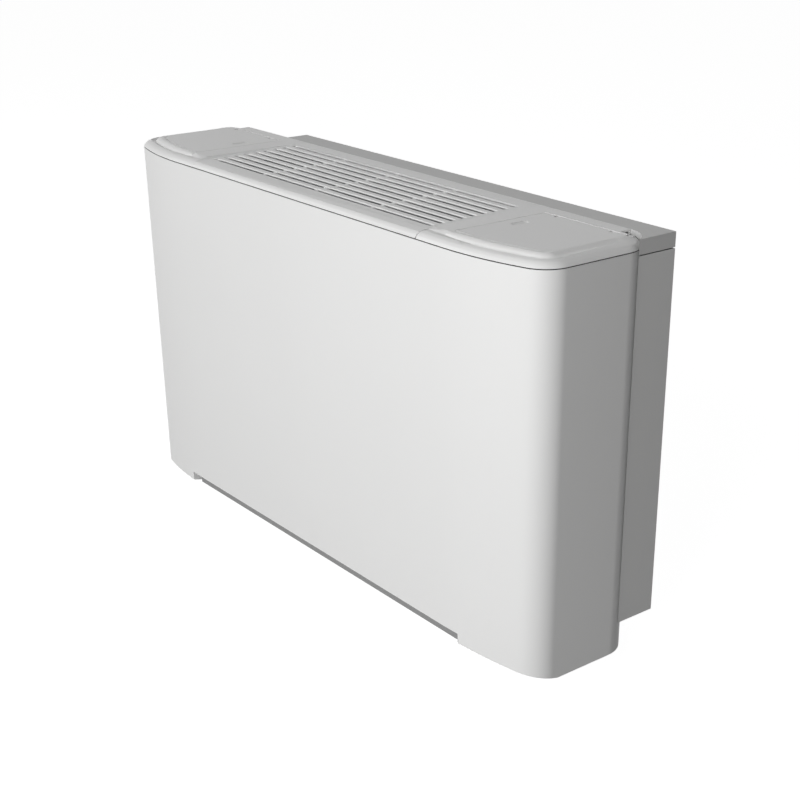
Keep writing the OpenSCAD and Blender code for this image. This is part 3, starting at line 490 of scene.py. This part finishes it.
def smooth_skin(node, casing):
    """The skin of one node, with its rim shaped where it has one."""
    shape = merged_copy(node)
    if node in WIDE_RIMS and node in ROUND_RIMS:
        lean_ramp(shape, casing)
        melt_fade(shape, casing)
    if node in WIDE_RIMS + ROUND_RIMS:
        shape.normal_update()
        shape_rim(shape, node, casing)
    if node in ROUND_RIMS:
        shape.normal_update()
        round_joint(shape, node)
    shade_by_angle(shape)
    if node in ROUND_RIMS:
        soften(shape)
    skin = add_piece(node + "_skin", shape, BODY_OF[node], SLOT_OF[node], PAINTED_SHADE_FINISHES.get(node))
    weighted = skin.modifiers.new("flat faces lead", "WEIGHTED_NORMAL")
    weighted.keep_sharp = True
    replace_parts(skin, node)


# Painted shade: a thin black strip on the mouldings' tongues, seen in the seam over the casing, stands in for
# the shadow in that seam

SEAM_FROM, SEAM_TO = 0.2420, 0.2435
SHADE_STRIP_DEPTH = 0.0007
FACING = 0.9


def seam_painted_shade(node, casing):
    """Black strip of painted shade on the outer faces of the tongue that stands inside the casing's wall."""
    shape = merged_copy(node)
    shape.normal_update()
    spare = []
    for face in shape.faces:
        centre = face.calc_center_median()
        probe = Vector((centre.x, centre.y, PROBE_Z))
        wall, _, _, distance = casing.find_nearest(probe)
        outer = distance < SHEET and face.normal.dot(probe - wall) < -FACING * distance
        if not (SEAM_FROM < centre.z < SEAM_TO and outer):
            spare.append(face)
    bmesh.ops.delete(shape, geom=spare, context="FACES")
    shade_by_angle(shape)
    # The strip takes the rubber finish, but it is painted shade, not a real seal.
    shade_strip = add_piece(node + "_seal", shape, BODY_OF[node], "rubber")
    shade_strip_solidify = shade_strip.modifiers.new("shade_strip_solidify", "SOLIDIFY")
    shade_strip_solidify.thickness = SHADE_STRIP_DEPTH
    shade_strip_solidify.offset = 1.0


# Fin pack: foil fins at their real spacing in place of the coarse ones

FIN_PITCH = 0.0021
FIN_FOIL = 0.00016
COIL_FOOT = (0.0, -0.190, -0.020)
COIL_TILT = math.radians(-20)
COIL_SIZE = (0.044, 0.250)


def fin_pack():
    low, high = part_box("coil_fins")
    count = int((high.x - low.x) / FIN_PITCH)
    depth, height = COIL_SIZE
    lean = Matrix.Translation(COIL_FOOT) @ Matrix.Rotation(COIL_TILT, 4, "X")
    shape = bmesh.new()
    for i in range(count + 1):
        middle = Matrix.Translation((low.x + (high.x - low.x) * i / count, depth / 2, height / 2))
        foil_sheet = Matrix.Diagonal((FIN_FOIL, depth, height, 1))
        bmesh.ops.create_cube(shape, size=1.0, matrix=lean @ middle @ foil_sheet)
    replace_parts(add_piece("fin_pack", shape, BODY_OF["coil_fins"], SLOT_OF["coil_fins"]), "coil_fins")


# Hex washer-head screws

SCREW_FLANGE = (0.0045, 0.0008)
SCREW_HEX = (0.0032, 0.0030)
SCREW_CHAMFER = 0.0004
LID_INSET = 0.004
LID_SHEET = 0.0025
DECK_SCREW_YS = (-0.194, -0.054)
DECK_SCREW_DROP = 0.014
BRACKET_SCREW_ZS = (0.10, 0.20)
BRACKET_SCREW_INSET = 0.012


def add_screw(shape, at, out):
    """One screw head on the surface at a point, turned to face outwards."""
    place = Matrix.Translation(at) @ out.to_track_quat("Z", "Y").to_matrix().to_4x4()
    for (radius, height), sides in ((SCREW_FLANGE, 20), (SCREW_HEX, 6)):
        made = bmesh.ops.create_cone(shape, cap_ends=True, segments=sides, radius1=radius, radius2=radius,
                                     depth=height, matrix=place @ Matrix.Translation((0, 0, height / 2)))
        top = [e for v in made["verts"] for e in v.link_edges
               if all((place.inverted() @ end.co).z > height * 0.9 for end in e.verts)]
        bmesh.ops.bevel(shape, geom=list(set(top)), offset=SCREW_CHAMFER, affect="EDGES", segments=2,
                        profile=0.5, material=-1)


def screws(name, body, places):
    shape = bmesh.new()
    for at, out in places:
        add_screw(shape, Vector(at), Vector(out))
    shade_by_angle(shape)
    add_piece(name, shape, body, "steel")


def lid_screws():
    """A screw in each corner of the terminal box's lid."""
    low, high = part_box("terminal_lid")
    face = low.x + LID_SHEET
    places = [((face, y, z), (1, 0, 0)) for y in (low.y + LID_INSET, high.y - LID_INSET)
              for z in (low.z + LID_INSET, high.z - LID_INSET)]
    screws("terminal_lid_screws", BODY_OF["terminal_lid"], places)


def plate_screws():
    """Screws through the side plates into the fan deck's ends and the casing brackets."""
    places = []
    for side, node in ((-1, "left_side_plate"), (1, "right_side_plate")):
        low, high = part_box(node)
        face = high.x if side > 0 else low.x
        for y in DECK_SCREW_YS:
            places.append(((face, y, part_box("fan_deck")[0].z - DECK_SCREW_DROP), (side, 0, 0)))
        for z in BRACKET_SCREW_ZS:
            places.append(((face, high.y - BRACKET_SCREW_INSET, z), (side, 0, 0)))
    screws("chassis_screws", "cabinet", places)


# Dial marks

DIAL_MARK = (0.0012, 0.0042, 0.0003)
DIAL_GAP = 0.003
LONG_TICK = 1.6


def dial_marks(name, knob, angles, long_marks):
    """Raised ticks on the control panel round a knob."""
    low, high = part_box(knob)
    centre = (low + high) / 2
    reach = (high.x - low.x) / 2 + DIAL_GAP
    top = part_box("control_panel")[1].z
    shape = bmesh.new()
    for i, angle in enumerate(angles):
        width, length, height = DIAL_MARK
        if i in long_marks:
            length *= LONG_TICK
        turned = Matrix.Translation((centre.x, centre.y, top)) @ Matrix.Rotation(math.radians(angle), 4, "Z")
        outwards = Matrix.Translation((0, reach + length / 2, height / 2))
        tick = Matrix.Diagonal((width, length, height, 1))
        bmesh.ops.create_cube(shape, size=1.0, matrix=turned @ outwards @ tick)
    add_piece(name, shape, "cabinet", "moulded_white")


# Camera, floor and light

CAMERA_AT = Vector((1.6701, -1.3147, 0.6939))
VIEW_AZIMUTH = math.radians(51.2)
VIEW_ELEVATION = math.radians(25.0)
LENS_MM = 65.31
SENSOR_MM = 36.0
SHIFT = (-0.0577, 0.1398)
FLOOR_Z = -0.36
FLOOR_HALF = 20.0
FLOOR_GLOW = 0.97
FLOOR_GREY = 0.25
WORLD_LIGHT = 0.05
LAMP_AWAY, LAMP_SIZE = 4.0, 2.4
KEY_POWER = 130.0
SHEEN_POWER = 24.0
KEY_FROM = Vector((0.35, -0.80, 0.35)).normalized()
SHEEN_FROM = Vector((-0.70, -0.62, 0.36)).normalized()


def place_camera():
    data = bpy.data.cameras.new("camera")
    data.lens = LENS_MM
    data.sensor_width = SENSOR_MM
    data.shift_x, data.shift_y = SHIFT
    data.clip_end = 60.0
    camera = bpy.data.objects.new("camera", data)
    bpy.context.scene.collection.objects.link(camera)
    turn = Matrix.Rotation(VIEW_AZIMUTH, 4, "Z") @ Matrix.Rotation(math.pi / 2 - VIEW_ELEVATION, 4, "X")
    camera.matrix_world = Matrix.Translation(CAMERA_AT) @ turn
    bpy.context.scene.camera = camera


def seen_straight(tree):
    """1 for rays from the camera, a mirror or a clear piece, else 0."""
    path = tree.nodes.new("ShaderNodeLightPath")
    seen = Shade(tree, path.outputs["Is Camera Ray"])
    for ray in ("Is Glossy Ray", "Is Transmission Ray"):
        seen = seen.math("MAXIMUM", seen, Shade(tree, path.outputs[ray]))
    return seen


def floor_finish():
    """Pale floor: white to the camera and in reflections, with a faint shadow of the object."""
    material = bpy.data.materials.new("pale_floor")
    material.use_nodes = True
    tree = material.node_tree
    tree.nodes.clear()
    seen = seen_straight(tree)
    glow = seen.add("ShaderNodeEmission", {"Color": grey(1.0), "Strength": seen * FLOOR_GLOW})
    pale = seen.add("ShaderNodeBsdfDiffuse", {"Color": grey(FLOOR_GREY)})
    both = seen.add("ShaderNodeAddShader", {0: glow, 1: pale})
    output = tree.nodes.new("ShaderNodeOutputMaterial")
    tree.links.new(both.socket, output.inputs["Surface"])
    return material


def lay_floor():
    mesh = bpy.data.meshes.new("floor")
    shape = bmesh.new()
    bmesh.ops.create_grid(shape, x_segments=1, y_segments=1, size=FLOOR_HALF)
    bmesh.ops.translate(shape, verts=shape.verts, vec=(0.0, 0.0, FLOOR_Z))
    shape.to_mesh(mesh)
    shape.free()
    floor = bpy.data.objects.new("floor", mesh)
    mesh.materials.append(floor_finish())
    bpy.context.scene.collection.objects.link(floor)


def area_light(name, direction, power):
    data = bpy.data.lights.new(name, "AREA")
    data.shape = "DISK"
    data.size = LAMP_SIZE
    data.energy = power
    lamp = bpy.data.objects.new(name, data)
    bpy.context.scene.collection.objects.link(lamp)
    aim = direction.to_track_quat("Z", "Y")
    lamp.matrix_world = Matrix.Translation(direction * LAMP_AWAY) @ aim.to_matrix().to_4x4()


def light_studio():
    world = bpy.data.worlds.new("studio")
    world.use_nodes = True
    bpy.context.scene.world = world
    backdrop = world.node_tree.nodes["Background"]
    backdrop.inputs["Color"].default_value = (1.0, 1.0, 1.0, 1.0)
    tree = world.node_tree
    seen = seen_straight(tree)
    feed(tree, backdrop.inputs["Strength"], seen * (1.0 - WORLD_LIGHT) + WORLD_LIGHT)
    area_light("key", KEY_FROM, KEY_POWER)
    area_light("sheen", SHEEN_FROM, SHEEN_POWER)


bpy.context.scene.view_settings.view_transform = "Standard"
dress_nodes()
casing_wall = merged_copy("front_casing")
casing_tree = BVHTree.FromBMesh(casing_wall)
for node in SKINS:
    smooth_skin(node, casing_tree)
for node in ROUND_RIMS:
    seam_painted_shade(node, casing_tree)
casing_wall.free()
fin_pack()
lid_screws()
plate_screws()
dial_marks("speed_marks", "speed_knob", range(0, -136, -45), (0,))
dial_marks("thermostat_marks", "thermostat_knob", range(-135, 136, 30), (0, 9))
place_camera()
lay_floor()
light_studio()
